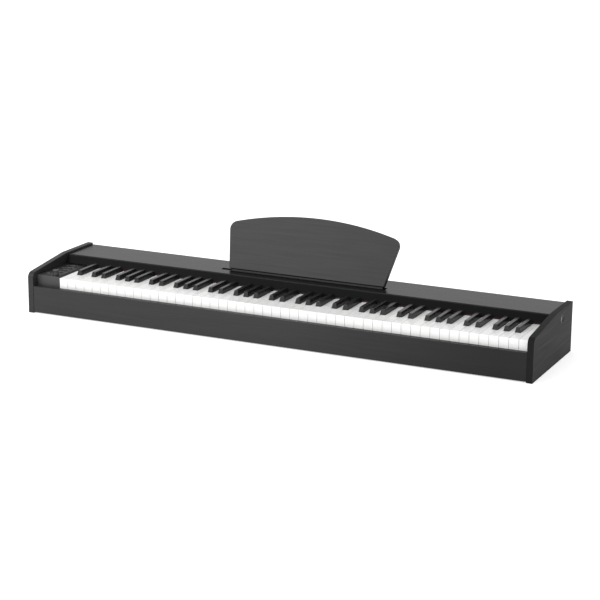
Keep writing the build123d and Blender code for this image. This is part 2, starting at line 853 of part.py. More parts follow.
jack_face = plate_outer + jack_nut_thickness
jack_body_end = back_outer - socket_clearance
with BuildPart() as audio_jacks:
    for jack_x, jack_z in jack_places:
        half_jack = jack_body_width / 2
        slab((jack_x - half_jack, jack_x + half_jack),
             (jack_body_end - jack_body_length, jack_body_end),
             (jack_z - half_jack, jack_z + half_jack))
        rod((jack_x, (jack_body_end + jack_face) / 2, jack_z), jack_collar_radius,
            jack_face - jack_body_end, (90, 0, 0))
        rod((jack_x, (plate_outer + jack_face) / 2, jack_z), jack_nut_radius,
            jack_nut_thickness, (90, 0, 0))
        rod((jack_x, jack_face - jack_bore_length / 2, jack_z), jack_radius,
            jack_bore_length, (90, 0, 0), Mode.SUBTRACT)
audio_jacks.part.label = "audio_jacks"
export_step(audio_jacks.part, "parts/audio_jacks.step")

inlet_end = back_outer - socket_clearance
with BuildPart() as power_inlet:
    half_inlet = inlet_body_width / 2
    slab((inlet_x - half_inlet, inlet_x + half_inlet), (inlet_end - inlet_body_length, inlet_end),
         (inlet_height - half_inlet, inlet_height + half_inlet))
    rod((inlet_x, (inlet_end + plate_outer) / 2, inlet_height), inlet_barrel_radius,
        plate_outer - inlet_end, (90, 0, 0))
    rod((inlet_x, plate_outer - inlet_depth / 2, inlet_height), inlet_radius, inlet_depth,
        (90, 0, 0), Mode.SUBTRACT)
    rod((inlet_x, plate_outer - inlet_depth / 2 - edge_break, inlet_height), inlet_pin_radius,
        inlet_depth - edge_break, (90, 0, 0))
power_inlet.part.label = "power_inlet"
export_step(power_inlet.part, "parts/power_inlet.step")

# ---- Speakers, which face down through the bottom board ----------------------------------------
basket_top = base_top + speaker_sheet + speaker_depth
with BuildPart() as speaker_baskets:
    for speaker_x, speaker_y in speaker_places:
        with BuildSketch(Plane((speaker_x, speaker_y, 0), x_dir=(1, 0, 0), z_dir=(0, -1, 0))):
            with BuildLine():
                Polyline(
                    (speaker_opening_radius - speaker_sheet, base_top),
                    (speaker_radius, base_top),
                    (speaker_radius, base_top + speaker_sheet),
                    (speaker_opening_radius, base_top + speaker_sheet),
                    (speaker_neck_radius, basket_top),
                    (cone_neck_radius + speaker_sheet, basket_top),
                    (cone_neck_radius + speaker_sheet, basket_top - speaker_sheet),
                    (speaker_neck_radius - speaker_sheet, basket_top - speaker_sheet),
                    (speaker_opening_radius - speaker_sheet, base_top + speaker_sheet),
                    close=True,
                )
            make_face()
        revolve(axis=Axis((speaker_x, speaker_y, 0), (0, 0, 1)))
speaker_baskets.part.label = "speaker_baskets"
export_step(speaker_baskets.part, "parts/speaker_baskets.step")

cone_rim = speaker_opening_radius - 2 * speaker_sheet
cone_top = basket_top - 2 * speaker_sheet
with BuildPart() as speaker_cones:
    for speaker_x, speaker_y in speaker_places:
        with BuildSketch(Plane((speaker_x, speaker_y, 0), x_dir=(1, 0, 0), z_dir=(0, -1, 0))):
            with BuildLine():
                Polyline(
                    (cone_rim, base_top),
                    (cone_neck_radius, cone_top - dust_cap_rise),
                    (0, cone_top - 2 * dust_cap_rise),
                    (0, cone_top - 2 * dust_cap_rise + cone_thickness),
                    (cone_neck_radius, cone_top - dust_cap_rise + cone_thickness),
                    (cone_rim, base_top + cone_thickness),
                    close=True,
                )
            make_face()
        revolve(axis=Axis((speaker_x, speaker_y, 0), (0, 0, 1)))
speaker_cones.part.label = "speaker_cones"
export_step(speaker_cones.part, "parts/speaker_cones.step")

with BuildPart() as speaker_magnets:
    with BuildSketch(Plane.XY.offset(basket_top)):
        with Locations(*speaker_places):
            Circle(magnet_radius)
    extrude(amount=magnet_thickness)
speaker_magnets.part.label = "speaker_magnets"
export_step(speaker_magnets.part, "parts/speaker_magnets.step")

with BuildPart() as speaker_grilles:
    with BuildSketch(Plane.XY.offset(board_gap - grille_thickness)):
        with Locations(*speaker_places):
            Circle(grille_radius)
            Circle(grille_hole_radius, mode=Mode.SUBTRACT)
            for ring in range(1, grille_ring_count):
                with PolarLocations(ring * grille_ring_pitch, grille_holes_per_ring * ring):
                    Circle(grille_hole_radius, mode=Mode.SUBTRACT)
    extrude(amount=grille_thickness)
speaker_grilles.part.label = "speaker_grilles"
export_step(speaker_grilles.part, "parts/speaker_grilles.step")

# ---- Main board -------------------------------------------------------------------------------
main_board_left = inner_left + main_board_margin
main_board_bottom = base_top + standoff_height
main_board_near = front + main_board_from_front
with BuildPart() as main_board:
    slab((main_board_left, main_board_left + main_board_width),
         (main_board_near, main_board_near + main_board_length),
         (main_board_bottom, main_board_bottom + board_sheet))
    for x in (main_board_left + standoff_margin,
              main_board_left + main_board_width - standoff_margin):
        for y in (main_board_near + standoff_margin,
                  main_board_near + main_board_length - standoff_margin):
            rod((x, y, (base_top + main_board_bottom) / 2), standoff_radius, standoff_height)
    slab((main_board_left + main_board_width / 3, main_board_left + 2 * main_board_width / 3),
         (main_board_near + main_board_length / 3, main_board_near + main_board_length / 2),
         (main_board_bottom + board_sheet, main_board_bottom + 3 * board_sheet))
main_board.part.label = "main_board"
export_step(main_board.part, "parts/main_board.step")
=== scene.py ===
"""Slab digital piano: the visible pieces, their finishes, a plain floor and a soft studio."""
import json
import math

import bmesh
import bpy
from mathutils import Matrix, Vector


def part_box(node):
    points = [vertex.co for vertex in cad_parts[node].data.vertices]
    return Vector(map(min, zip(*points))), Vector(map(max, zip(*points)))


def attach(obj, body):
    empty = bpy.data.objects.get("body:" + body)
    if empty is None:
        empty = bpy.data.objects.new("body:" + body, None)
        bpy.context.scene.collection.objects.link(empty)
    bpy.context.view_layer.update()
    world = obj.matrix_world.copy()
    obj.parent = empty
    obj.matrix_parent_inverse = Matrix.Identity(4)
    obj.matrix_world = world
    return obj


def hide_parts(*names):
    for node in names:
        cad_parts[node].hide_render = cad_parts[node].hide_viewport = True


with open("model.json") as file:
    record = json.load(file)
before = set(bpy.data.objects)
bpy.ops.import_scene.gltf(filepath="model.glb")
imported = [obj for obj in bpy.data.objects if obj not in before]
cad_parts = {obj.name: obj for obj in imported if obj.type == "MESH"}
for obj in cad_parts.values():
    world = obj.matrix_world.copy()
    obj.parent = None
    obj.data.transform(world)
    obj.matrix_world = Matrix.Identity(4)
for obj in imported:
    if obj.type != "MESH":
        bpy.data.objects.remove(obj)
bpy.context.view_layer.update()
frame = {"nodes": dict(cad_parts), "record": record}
bodies = {node: body for body, nodes in frame["record"]["behaviour"]["bodies"].items()
          for node in nodes}
slots = {row["node"]: row["material_slot"] for row in frame["record"]["subparts"]}

# ---- Camera --------------------------------------------------------------------------------------
# A long lens stands to the treble side and above the keys, and looks at the middle of the piano.
aim = Vector((0.0914, -0.1435, 0.1238))
azimuth = math.radians(25.18)
elevation = math.radians(15.05)
roll = math.radians(0.46)
camera_distance = 4.261
sight = Vector((-math.sin(azimuth) * math.cos(elevation), math.cos(azimuth) * math.cos(elevation),
                -math.sin(elevation)))
level = Vector((math.cos(azimuth), math.sin(azimuth), 0))
rise = level.cross(sight)
rows = (level * math.cos(roll) + rise * math.sin(roll),
        rise * math.cos(roll) - level * math.sin(roll), -sight)
camera = bpy.data.objects.new("camera", bpy.data.cameras.new("camera"))
camera.data.lens = 109.7
camera.data.sensor_width = 36
camera.data.clip_end = 60
camera.matrix_world = (Matrix.Translation(aim - camera_distance * sight)
                       @ Matrix(rows).transposed().to_4x4())
bpy.context.collection.objects.link(camera)
bpy.context.scene.camera = camera
bpy.context.scene.view_settings.view_transform = "Standard"


# ---- Floor and light -----------------------------------------------------------------------------
# A plain white sweep in an even white room. One large soft lamp stands in front, far to the bass
# side and well above the keys.
def finished(name, dark, light, scale, rough, bump=0.0, stretch=(1, 1, 1), ramp=(0.35, 0.65),
             detail=3.0, warp=0.0, **settings):
    """A material whose colour, roughness and relief follow one noise in object space."""
    material = bpy.data.materials.new(name)
    material.use_nodes = True
    nodes = material.node_tree.nodes
    links = material.node_tree.links
    shader = nodes["Principled BSDF"]
    for socket, value in settings.items():
        shader.inputs[socket.replace("_", " ")].default_value = value
    place = nodes.new("ShaderNodeTexCoord")
    spread = nodes.new("ShaderNodeMapping")
    spread.inputs["Scale"].default_value = stretch
    links.new(place.outputs["Object"], spread.inputs["Vector"])
    noise = nodes.new("ShaderNodeTexNoise")
    noise.name = "grain"
    noise.inputs["Scale"].default_value = scale
    noise.inputs["Detail"].default_value = detail
    noise.inputs["Distortion"].default_value = warp
    links.new(spread.outputs["Vector"], noise.inputs["Vector"])
    tones = nodes.new("ShaderNodeValToRGB")
    tones.name = "tones"
    tones.color_ramp.elements[0].position = ramp[0]
    tones.color_ramp.elements[0].color = (*dark, 1)
    tones.color_ramp.elements[1].position = ramp[1]
    tones.color_ramp.elements[1].color = (*light, 1)
    links.new(noise.outputs["Fac"], tones.inputs["Fac"])
    links.new(tones.outputs["Color"], shader.inputs["Base Color"])
    polish = nodes.new("ShaderNodeMapRange")
    polish.inputs["From Min"].default_value = ramp[0]
    polish.inputs["From Max"].default_value = ramp[1]
    polish.inputs["To Min"].default_value = rough[1]
    polish.inputs["To Max"].default_value = rough[0]
    links.new(noise.outputs["Fac"], polish.inputs["Value"])
    links.new(polish.outputs["Result"], shader.inputs["Roughness"])
    if bump:
        relief = nodes.new("ShaderNodeBump")
        relief.inputs["Strength"].default_value = 0.5
        relief.inputs["Distance"].default_value = bump
        links.new(noise.outputs["Fac"], relief.inputs["Height"])
        links.new(relief.outputs["Normal"], shader.inputs["Normal"])
    return material


floor_half = 14.0
floor_mesh = bpy.data.meshes.new("floor")
floor_mesh.from_pydata([(-floor_half, -floor_half, 0), (floor_half, -floor_half, 0),
                        (floor_half, floor_half, 0), (-floor_half, floor_half, 0)], [],
                       [(0, 1, 2, 3)])
floor_mesh.materials.append(finished(
    "white_sweep", (0.88, 0.88, 0.88), (0.9, 0.9, 0.9), 2, (0.85, 0.95), Specular_IOR_Level=0.0,
    Emission_Color=(1, 1, 1, 1), Emission_Strength=0.5))
floor = bpy.data.objects.new("floor", floor_mesh)
bpy.context.collection.objects.link(floor)

studio = bpy.data.worlds.new("studio")
studio.use_nodes = True
studio.node_tree.nodes["Background"].inputs["Color"].default_value = (1, 1, 1, 1)
studio.node_tree.nodes["Background"].inputs["Strength"].default_value = 0.82
bpy.context.scene.world = studio
softbox = bpy.data.lights.new("front_softbox", "AREA")
softbox.shape = "RECTANGLE"
softbox.size = 2.4
softbox.size_y = 1.6
softbox.energy = 66
softbox_holder = bpy.data.objects.new("front_softbox", softbox)
softbox_holder.location = (-1.7, -2.6, 2.3)
softbox_holder.rotation_euler = (0.946, 0, -0.552)
bpy.context.collection.objects.link(softbox_holder)


# ---- Cabinet boards ------------------------------------------------------------------------------
# Side cheeks, front rail and top panel are chipboard faced in black wood-grain laminate. Their
# corners are broken by a fraction of a millimetre, which shows as a thin light line.
def settled(piece):
    """Put the piece's modifiers into its mesh, and remove them."""
    seen = piece.evaluated_get(bpy.context.evaluated_depsgraph_get())
    mesh = bpy.data.meshes.new_from_object(seen)
    mesh.name = piece.name
    piece.modifiers.clear()
    piece.data = mesh


def new_piece(name, mesh, material, body):
    """Link a mesh as a piece that moves with a body and takes a slot's finish."""
    mesh.materials.clear()
    mesh.materials.append(material)
    piece = bpy.data.objects.new(name, mesh)
    bpy.context.collection.objects.link(piece)
    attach(piece, body)
    return piece


def stand_in(name, node, material, bevel=0.0, smooth=35.0):
    """A cleaned copy of a CAD node, with softened corners, that stands for that node."""
    work = bmesh.new()
    work.from_mesh(frame["nodes"][node].data)
    bmesh.ops.remove_doubles(work, verts=work.verts, dist=2e-6)
    bmesh.ops.dissolve_limit(work, angle_limit=math.radians(0.5), verts=work.verts,
                             edges=work.edges)
    mesh = bpy.data.meshes.new(name)
    work.to_mesh(mesh)
    work.free()
    mesh.shade_smooth()
    mesh.set_sharp_from_angle(angle=math.radians(smooth))
    piece = new_piece(name, mesh, material, bodies[node])
    if bevel:
        corners = piece.modifiers.new("corners", "BEVEL")
        corners.width = bevel
        corners.segments = 2
        corners.limit_method = "ANGLE"
        corners.angle_limit = math.radians(40)
    evened = piece.modifiers.new("evened", "WEIGHTED_NORMAL")
    evened.mode = "FACE_AREA"
    evened.weight = 80
    evened.keep_sharp = True
    settled(piece)
    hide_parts(node)
    return piece


def laminate(name, along, shine, rough, lit_tone=1.0, grain=0.7, figured=0.05, painted_falloff=0.0,
             painted_falloff_span=(-0.1, 0.65)):
    """Black laminate: fine grain along one axis and a fainter broad figure, with painted light: a
    tone for how lit the board looks, and a painted falloff that makes it lighter at the bass end
    along X and darker towards the treble end.
    """
    middle = 0.0198 * lit_tone
    spread = 0.0038 * lit_tone * grain
    stretch = tuple(0.012 if axis == along else 1.0 for axis in "XYZ")
    material = finished(
        name, tuple((middle - spread) * tint for tint in (1, 1, 1.035)),
        tuple((middle + spread) * tint for tint in (1, 1, 1.035)), 620, rough,
        bump=0.00005 * grain, stretch=stretch, ramp=(0.34, 0.66), detail=5, warp=0.3,
        Specular_IOR_Level=shine)
    nodes = material.node_tree.nodes
    links = material.node_tree.links
    place = nodes.new("ShaderNodeTexCoord")
    drawn = nodes.new("ShaderNodeMapping")
    drawn.inputs["Scale"].default_value = tuple(
        0.05 if axis == along else 1.0 for axis in "XYZ")
    links.new(place.outputs["Object"], drawn.inputs["Vector"])
    figure = nodes.new("ShaderNodeTexNoise")
    figure.inputs["Scale"].default_value = 70
    figure.inputs["Detail"].default_value = 4
    figure.inputs["Distortion"].default_value = 1.2
    links.new(drawn.outputs["Vector"], figure.inputs["Vector"])
    faint = nodes.new("ShaderNodeMapRange")
    faint.inputs["From Min"].default_value = 0.3
    faint.inputs["From Max"].default_value = 0.7
    faint.inputs["To Min"].default_value = 1 - figured
    faint.inputs["To Max"].default_value = 1 + figured
    links.new(figure.outputs["Fac"], faint.inputs["Value"])
    shade = nodes.new("ShaderNodeVectorMath")
    shade.operation = "MULTIPLY"
    links.new(nodes["tones"].outputs["Color"], shade.inputs[0])
    links.new(faint.outputs["Result"], shade.inputs[1])
    across = nodes.new("ShaderNodeSeparateXYZ")
    links.new(place.outputs["Object"], across.inputs["Vector"])
    # Painted light: the colour is scaled down along X across the span, lighter at the bass end and
    # darker at the treble end, standing for light falling off from the lamp on the bass side.
    painted_falloff_ramp = nodes.new("ShaderNodeMapRange")
    painted_falloff_ramp.inputs["From Min"].default_value = painted_falloff_span[0]
    painted_falloff_ramp.inputs["From Max"].default_value = painted_falloff_span[1]
    painted_falloff_ramp.inputs["To Min"].default_value = 1 + painted_falloff
    painted_falloff_ramp.inputs["To Max"].default_value = 1 - painted_falloff
    links.new(across.outputs["X"], painted_falloff_ramp.inputs["Value"])
    falloff_painted = nodes.new("ShaderNodeVectorMath")
    falloff_painted.operation = "MULTIPLY"
    links.new(shade.outputs["Vector"], falloff_painted.inputs[0])
    links.new(painted_falloff_ramp.outputs["Result"], falloff_painted.inputs[1])
    links.new(falloff_painted.outputs["Vector"], nodes["Principled BSDF"].inputs["Base Color"])
    return material


board_corner = 0.0006
# Painted light and shade: the boards share one laminate, but each is given its own tone for how lit
# its seen face looks. The top panel is darker, the bass cheek lighter and the treble cheek darker.
# The top panel and, strongly, the front rail are also painted lighter towards the bass end, where
# the lamp stands, and darker towards the treble end.
top_laminate = laminate("top_laminate", "X", 0.18, (0.23, 0.29), lit_tone=0.42, painted_falloff=0.06)
rail_laminate = laminate("rail_laminate", "X", 0.2, (0.38, 0.46), lit_tone=0.97, grain=0.5,
                         figured=0.03, painted_falloff=0.5, painted_falloff_span=(0.05, 0.58))
bass_lit_laminate = laminate("bass_cheek_laminate", "Y", 0.2, (0.38, 0.46), lit_tone=1.3)
treble_shaded_laminate = laminate("treble_cheek_laminate", "Y", 0.04, (0.42, 0.5), lit_tone=0.66)
stand_in("top_panel_board", "top_panel", top_laminate, board_corner / 2)
stand_in("front_rail_board", "front_rail", rail_laminate, board_corner)
stand_in("left_cheek_board", "left_cheek", bass_lit_laminate, board_corner)
stand_in("right_cheek_board", "right_cheek", treble_shaded_laminate, board_corner)

# ---- Fallboard -----------------------------------------------------------------------------------
# A painted strip, mitred to the top panel, closes the cabinet behind the keys. It is the darkest
# face, a plain satin black with almost no gloss.
fallboard_paint = finished(
    "fallboard_paint", (0.0075, 0.0075, 0.0078), (0.0105, 0.0105, 0.0108), 500, (0.24, 0.32),
    bump=0.00001, detail=2, Specular_IOR_Level=0.02)
stand_in("fallboard_strip", "fallboard", fallboard_paint, board_corner / 2)

# ---- Key felt ------------------------------------------------------------------------------------
# Under the fallboard a strip of red wool felt, glued on, closes the gap above the keys.
key_felt_wool = finished(
    "key_felt_wool", (0.014, 0.0008, 0.0014), (0.055, 0.0028, 0.0055), 1500, (0.9, 1.0), bump=0.0003,
    detail=4, warp=1.5, Specular_IOR_Level=0.1, Sheen_Weight=0.3, Sheen_Roughness=0.5)
stand_in("key_felt_strip", "key_felt", key_felt_wool, 0.0003)

# ---- White keys ----------------------------------------------------------------------------------
# Moulded shells with a smooth, faintly warm surface under a thin clear gloss.
white_key_plastic = finished(
    "white_key_plastic", (0.862, 0.862, 0.85), (0.87, 0.87, 0.862), 180, (0.24, 0.28),
    detail=3, Specular_IOR_Level=0.35, Coat_Weight=0.2, Coat_Roughness=0.06)
key_blocks = ["a0_to_b1", "c2_to_b3", "c5_to_b6", "c7_to_c8"]
for note in ["c", "d", "e", "f", "g", "a", "b"]:
    stand_in(f"white_key_{note}_4", f"key_{note}_4", white_key_plastic)
for block in key_blocks:
    stand_in(f"white_row_{block}", f"white_keys_{block}", white_key_plastic)

# ---- Black keys ----------------------------------------------------------------------------------
# Satin black caps with tapered sides. The rounded upper edges catch the light.
black_key_plastic = finished(
    "black_key_plastic", (0.008, 0.008, 0.0084), (0.013, 0.013, 0.0134), 1400, (0.2, 0.28),
    bump=0.00001, detail=2, Specular_IOR_Level=0.5)
for note in ["c_sharp", "d_sharp", "f_sharp", "g_sharp", "a_sharp"]:
    stand_in(f"black_key_{note}_4", f"key_{note}_4", black_key_plastic)
for block in key_blocks:
    stand_in(f"black_row_{block}", f"black_keys_{block}", black_key_plastic)

# ---- Music rest ----------------------------------------------------------------------------------
# One arched board in smoother, slightly lighter laminate, painted lighter towards the bass end as
# painted light.
# Its side edges and the tongue that stands in the panel's slot take a duller, darker black as
# painted shade.
rest_laminate = laminate("rest_laminate", "X", 0.25, (0.4, 0.46), lit_tone=1.0, grain=0.35,
                         figured=0.015, painted_falloff=0.14, painted_falloff_span=(-0.25, 0.25))
rest_edge = finished(
    "rest_edge", (0.008, 0.008, 0.0085), (0.014, 0.014, 0.0145), 700, (0.4, 0.5), bump=0.00004,
    Specular_IOR_Level=0.2)
rest_board = stand_in("music_rest_board", "music_rest", rest_laminate, 0.0006)
rest_board.data.materials.append(rest_edge)
rest_facing = max(rest_board.data.polygons, key=lambda face: face.area).normal.copy()
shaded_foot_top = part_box("top_panel")[1].z + 0.003
# Painted shade: faces edge-on to the board, and faces lower than a little above the top panel, take
# the darker material.
for face in rest_board.data.polygons:
    if abs(face.normal.dot(rest_facing)) < 0.5 or face.center.z < shaded_foot_top:
        face.material_index = 1

# ---- Control housing and plate -------------------------------------------------------------------
# The moulded block left of the keys has a spark-eroded skin. A thin satin plate on top carries
# printed guide marks: plain dots and bars beside the buttons and a dotted scale round the knob.
housing_plastic = finished(
    "housing_plastic", (0.036, 0.036, 0.0368), (0.06, 0.06, 0.061), 900, (0.42, 0.56),
    bump=0.00012, Specular_IOR_Level=0.4)
plate_plastic = finished(
    "plate_plastic", (0.006, 0.006, 0.0064), (0.011, 0.011, 0.0115), 2000, (0.34, 0.44),
    bump=0.00004, Specular_IOR_Level=0.2)
stand_in("control_housing_shell", "control_housing", housing_plastic, 0.0004)
stand_in("control_plate_sheet", "control_plate", plate_plastic, 0.0002)


def lathe(name, profile, steps, centre):
    """A closed turned mesh from (radius, height) pairs, about a vertical axis through a centre."""
    work = bmesh.new()
    rings = []
    for radius, height in profile:
        if radius == 0:
            rings.append([work.verts.new((centre[0], centre[1], centre[2] + height))])
            continue
        rings.append([
            work.verts.new((centre[0] + radius * math.cos(2 * math.pi * step / steps),
                            centre[1] + radius * math.sin(2 * math.pi * step / steps),
                            centre[2] + height)) for step in range(steps)])
    for lower, upper in zip(rings, rings[1:]):
        for step in range(steps if len(lower) + len(upper) > 2 else 0):
            corners = []
            for vert in (lower[step % len(lower)], lower[(step + 1) % steps % len(lower)],
                         upper[(step + 1) % steps % len(upper)], upper[step % len(upper)]):
                if vert not in corners:
                    corners.append(vert)
            work.faces.new(corners)
    bmesh.ops.recalc_face_normals(work, faces=work.faces)
    mesh = bpy.data.meshes.new(name)
    work.to_mesh(mesh)
    work.free()
    mesh.shade_smooth()
    mesh.set_sharp_from_angle(angle=math.radians(35))
    return mesh


def repeated(name, sample, places, material, body, outward=False):
    """One piece made of a sample mesh repeated at points, turned outward if they lie in a ring."""
    tree = bpy.data.node_groups.new(name, "GeometryNodeTree")
    tree.interface.new_socket("Geometry", in_out="INPUT", socket_type="NodeSocketGeometry")
    sample_socket = tree.interface.new_socket("Sample", in_out="INPUT",
                                              socket_type="NodeSocketObject")
    finish_socket = tree.interface.new_socket("Finish", in_out="INPUT",
                                              socket_type="NodeSocketMaterial")
    tree.interface.new_socket("Geometry", in_out="OUTPUT", socket_type="NodeSocketGeometry")
    entry = tree.nodes.new("NodeGroupInput")
    leave = tree.nodes.new("NodeGroupOutput")
    source = tree.nodes.new("GeometryNodeObjectInfo")
    placed = tree.nodes.new("GeometryNodeInstanceOnPoints")
    real = tree.nodes.new("GeometryNodeRealizeInstances")
    coat = tree.nodes.new("GeometryNodeSetMaterial")
    tree.links.new(entry.outputs["Sample"], source.inputs["Object"])
    tree.links.new(entry.outputs["Geometry"], placed.inputs["Points"])
    tree.links.new(source.outputs["Geometry"], placed.inputs["Instance"])
    if outward:
        facing = tree.nodes.new("FunctionNodeAlignRotationToVector")
        normal = tree.nodes.new("GeometryNodeInputNamedAttribute")
        normal.data_type = "FLOAT_VECTOR"
        normal.inputs["Name"].default_value = "facing"
        facing.axis = "X"
        facing.pivot_axis = "Z"
        tree.links.new(normal.outputs["Attribute"], facing.inputs["Vector"])
        tree.links.new(facing.outputs["Rotation"], placed.inputs["Rotation"])
    tree.links.new(placed.outputs["Instances"], real.inputs["Geometry"])
    tree.links.new(real.outputs["Geometry"], coat.inputs["Geometry"])
    tree.links.new(entry.outputs["Finish"], coat.inputs["Material"])
    tree.links.new(coat.outputs["Geometry"], leave.inputs["Geometry"])
    mesh = bpy.data.meshes.new(name)
    mesh.from_pydata([place[0] for place in places], [], [])
    facings = mesh.attributes.new("facing", "FLOAT_VECTOR", "POINT")
    for number, place in enumerate(places):
        facings.data[number].vector = place[1]
    model = bpy.data.objects.new(name + "_sample", sample)
    bpy.context.collection.objects.link(model)
    piece = bpy.data.objects.new(name, mesh)
    bpy.context.collection.objects.link(piece)
    layout = piece.modifiers.new("layout", "NODES")
    layout.node_group = tree
    layout[sample_socket.identifier] = model
    layout[finish_socket.identifier] = material
    settled(piece)
    bpy.data.objects.remove(model)
    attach(piece, body)
    return piece


def flat_mark(name, length, width):
    """A printed mark a hair thick: a bar, or a dot where both sizes are the same."""
    steps = 16 if length == width else 4
    turn = 0 if length == width else math.pi / 4
    reach = (length / 2, width / 2) if length == width else (length / 2 ** 0.5, width / 2 ** 0.5)
    return flat_prism(name, steps, turn, reach)


def flat_prism(name, steps, turn, reach):
    """A flat prism with a regular outline stretched to two half sizes."""
    ink = 0.00003
    outline = [(reach[0] * math.cos(turn + 2 * math.pi * step / steps),
                reach[1] * math.sin(turn + 2 * math.pi * step / steps)) for step in range(steps)]
    verts = [(x, y, -ink) for x, y in outline] + [(x, y, ink) for x, y in outline]
    sides = [(step, (step + 1) % steps, (step + 1) % steps + steps, step + steps)
             for step in range(steps)]
    mesh = bpy.data.meshes.new(name)
    mesh.from_pydata(verts, [], sides + [tuple(range(steps))[::-1],
                                         tuple(range(steps, 2 * steps))])
    return mesh


print_white = finished(
    "print_white", (0.3, 0.3, 0.3), (0.42, 0.42, 0.42), 3000, (0.5, 0.65), ramp=(0.3, 0.7))
plate_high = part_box("control_plate")[1]
knob_low, knob_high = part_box("volume_knob")
knob_middle = (knob_low + knob_high) / 2
knob_radius = (knob_high.x - knob_low.x) / 2
still = Vector((1, 0, 0))
scale_dots = []
scale_dot_count = 11
scale_radius = 1.32 * knob_radius
for step in range(scale_dot_count):
    angle = math.radians(240 - 30 * step)
    scale_dots.append((Vector((knob_middle.x + scale_radius * math.cos(angle),
                               knob_middle.y + scale_radius * math.sin(angle),
                               plate_high.z)), still))
repeated("knob_scale", flat_mark("scale_dot", 0.0009, 0.0009), scale_dots, print_white,
         "cabinet")
bars = []
dots = []
bar_offset = 0.00375
bar_rise = 0.0072
dot_gap = 0.0035
dot_pitch = 0.0026
left_dot_rise = 0.0034
for number in range(1, 5):
    button_low, button_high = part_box(f"panel_button_{number}")
    middle = (button_low + button_high) / 2
    for away in (-bar_offset, bar_offset):
        bars.append((Vector((middle.x + away, middle.y + bar_rise, plate_high.z)), still))
    for step in range(4):
        dots.append((Vector((button_high.x + dot_gap + dot_pitch * step, middle.y,
                             plate_high.z)), still))
        dots.append((Vector((button_low.x - dot_gap - dot_pitch * step,
                             middle.y + left_dot_rise, plate_high.z)), still))
repeated("button_bars", flat_mark("button_bar", 0.0055, 0.0012), bars, print_white, "cabinet")
repeated("button_dots", flat_mark("button_dot", 0.0013, 0.0013), dots, print_white, "cabinet")

# ---- Volume knob ---------------------------------------------------------------------------------
# A turned cap pushed on the shaft: a low skirt, a ribbed grip, a dished top and a pale pointer.
knob_plastic = finished(
    "knob_plastic", (0.014, 0.014, 0.015), (0.022, 0.022, 0.023), 1100, (0.18, 0.28),
    bump=0.00002, Specular_IOR_Level=0.55)
knob_height = knob_high.z - knob_low.z
grip = 0.89 * knob_radius
profile = [(0.36 * knob_radius, 0.00001), (0.97 * knob_radius, 0.00001), (knob_radius, 0.0004),
           (knob_radius, 0.0016), (0.96 * knob_radius, 0.0021), (grip, 0.0023),
           (0.985 * grip, knob_height - 0.0012), (0.93 * grip, knob_height - 0.0003),
           (0.85 * grip, knob_height), (0.78 * grip, knob_height),
           (0.7 * grip, knob_height - 0.0005), (0, knob_height - 0.0008), (0, 0.0095),
           (0.36 * knob_radius, 0.0095), (0.36 * knob_radius, 0.00001)]
knob_foot = Vector((knob_middle.x, knob_middle.y, knob_low.z))
knob_body = new_piece("volume_knob_cap", lathe("volume_knob_cap", profile, 72, knob_foot),
                      knob_plastic, "knob")
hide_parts("volume_knob")
rib_height = knob_height - 0.0042
rib = flat_prism("rib", 8, 0, (0.00028, 0.00024))
for vert in rib.vertices:
    vert.co.z *= rib_height / 0.00006
ribs = []
rib_count = 48
for step in range(rib_count):
    angle = 2 * math.pi * step / rib_count
    facing = Vector((math.cos(angle), math.sin(angle), 0))
    ribs.append((knob_foot + facing * 0.993 * grip
                 + Vector((0, 0, 0.0026 + rib_height / 2)), facing))
repeated("volume_knob_ribs", rib, ribs, knob_plastic, "knob", outward=True)
pointer = flat_prism("pointer", 4, math.pi / 4, (0.0006 / 2 ** 0.5, 0.0042 / 2 ** 0.5))
pointer.transform(Matrix.Translation(knob_foot + Vector((0, -0.45 * grip, knob_height - 0.0005))))
new_piece("volume_knob_pointer", pointer, print_white, "knob")

# ---- Buttons and indicator windows ---------------------------------------------------------------
# Four moulded rubber caps rise through the plate. Clear windows beside them pass the indicator
# light, and a wider one at the front shows that the power is on.
button_rubber = finished(
    "button_rubber", (0.05, 0.05, 0.052), (0.075, 0.075, 0.078), 1600, (0.55, 0.7),
    bump=0.00008, Specular_IOR_Level=0.35)
for number in range(1, 5):
    stand_in(f"panel_button_cap_{number}", f"panel_button_{number}", button_rubber, 0.0003)
window_plastic = finished(
    "window_plastic", (0.34, 0.37, 0.4), (0.45, 0.48, 0.52), 900, (0.08, 0.16), Coat_Weight=0.7,
    Specular_IOR_Level=0.5)
stand_in("indicator_windows", "indicator_lenses", window_plastic, 0.0001)

# ---- Power button --------------------------------------------------------------------------------
# A push button sunk in a round bezel through the treble cheek.
stand_in("power_bezel", "power_switch", housing_plastic, 0.0003)
stand_in("power_cap", "power_button", knob_plastic, 0.0002)

# ---- Back panel, sockets and screws --------------------------------------------------------------
# Black faced board behind, in two lengths with a moulded socket plate between them. Nickel jacks
# and a power inlet come through the plate, and cross-head screws hold the boards.
faced_board = finished(
    "faced_board", (0.012, 0.012, 0.0125), (0.022, 0.022, 0.023), 900, (0.55, 0.7), bump=0.0001,
    detail=4, Specular_IOR_Level=0.3)
socket_plastic = finished(
    "socket_plastic", (0.01, 0.01, 0.0105), (0.017, 0.017, 0.0175), 1400, (0.42, 0.54),
    bump=0.00008, Specular_IOR_Level=0.4)
jack_nickel = finished(
    "jack_nickel", (0.4, 0.39, 0.37), (0.46, 0.45, 0.43), 400, (0.24, 0.34),
    stretch=(1, 0.2, 1), Metallic=1.0)
screw_steel = finished(
    "screw_steel", (0.02, 0.02, 0.021), (0.05, 0.05, 0.052), 1500, (0.28, 0.42), bump=0.00002,
    Metallic=0.6)
stand_in("back_boards", "back_panel", faced_board, 0.0004)
stand_in("socket_plate_moulding", "socket_plate", socket_plastic, 0.0005)
stand_in("power_inlet_body", "power_inlet", socket_plastic, 0.0002)
stand_in("audio_jack_pair", "audio_jacks", jack_nickel, 0.0001)


